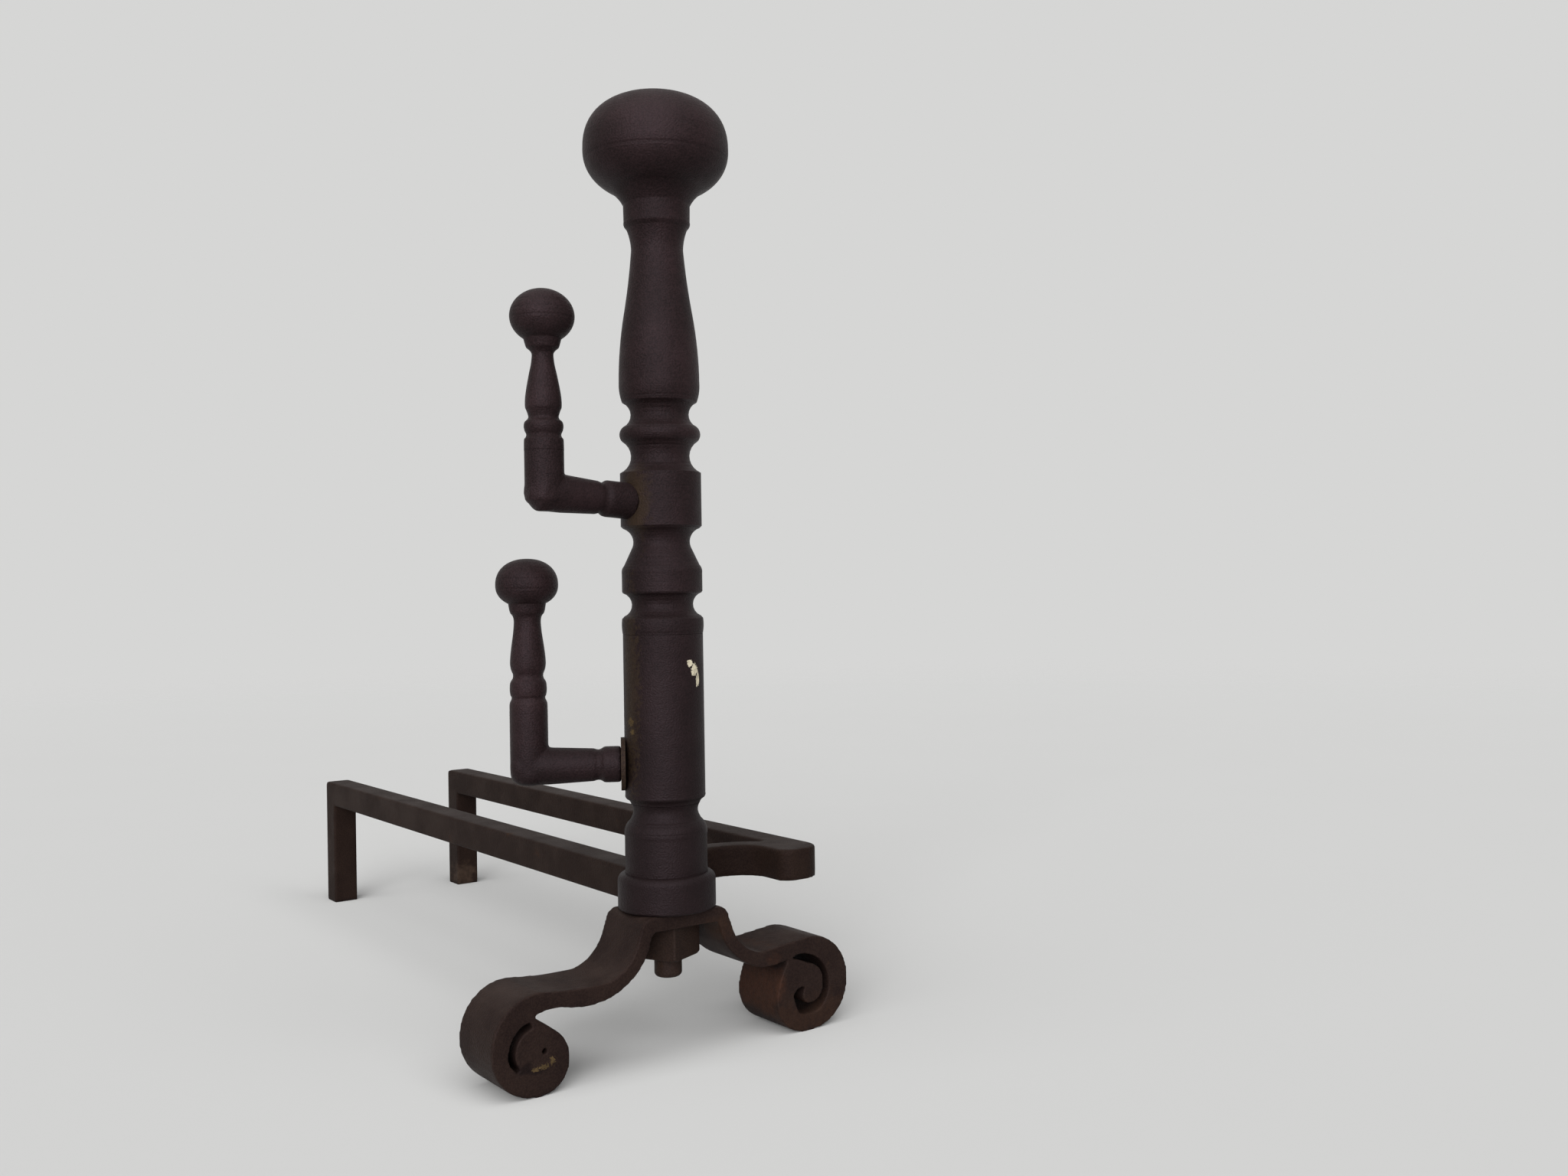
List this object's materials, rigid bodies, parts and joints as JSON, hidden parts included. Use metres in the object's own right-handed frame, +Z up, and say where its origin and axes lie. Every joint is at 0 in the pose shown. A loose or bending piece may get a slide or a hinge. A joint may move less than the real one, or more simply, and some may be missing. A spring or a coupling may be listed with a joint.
{
  "type": "andiron",
  "caption": "Fireplace andiron: turned column with ball finial, swivelling tool hooks, scrolled foot and a fork of square log bars.",
  "frame": {"origin": "on the floor, under the middle of the bounding box", "axes": "+Z up, +Y back along the log bars, +X from the outer log bar towards the inner one"},
  "size_m": [0.2746, 0.6606, 0.6217],
  "materials": {
    "column_iron": "matte dark brown-black paint on cast iron",
    "hook_iron": "matte dark brown-black paint on iron",
    "bar_iron": "matte dark iron, worn greyer on top",
    "foot_iron": "matte dark iron with rust",
    "rod_iron": "rusty iron"
  },
  "bodies": {
    "frame": {"foot_strap": "foot_iron", "square_nut": "rod_iron", "tie_rod": "rod_iron", "eye_ring": "column_iron", "yoke_arm": "bar_iron", "outer_log_bar": "bar_iron", "inner_log_bar": "bar_iron", "base_block": "column_iron"},
    "lower_section": {"shaft": "column_iron", "lower_hook_bar": "hook_iron", "lower_hook_washer": "hook_iron", "lower_hook_finial": "hook_iron"},
    "upper_section": {"upper_column": "column_iron", "finial_ball": "column_iron", "upper_hook_bar": "hook_iron", "upper_hook_finial": "hook_iron"}
  },
  "joints": [
    {"name": "lower_hook_swivel", "type": "hinge", "parent": "frame", "child": "lower_section", "pos_m": [-0.00155, -0.283, 0.1624], "axis": [0, 0, 1], "continuous": true},
    {"name": "upper_hook_swivel", "type": "hinge", "parent": "frame", "child": "upper_section", "pos_m": [-0.00155, -0.283, 0.272], "axis": [0, 0, 1], "continuous": true}
  ]
}
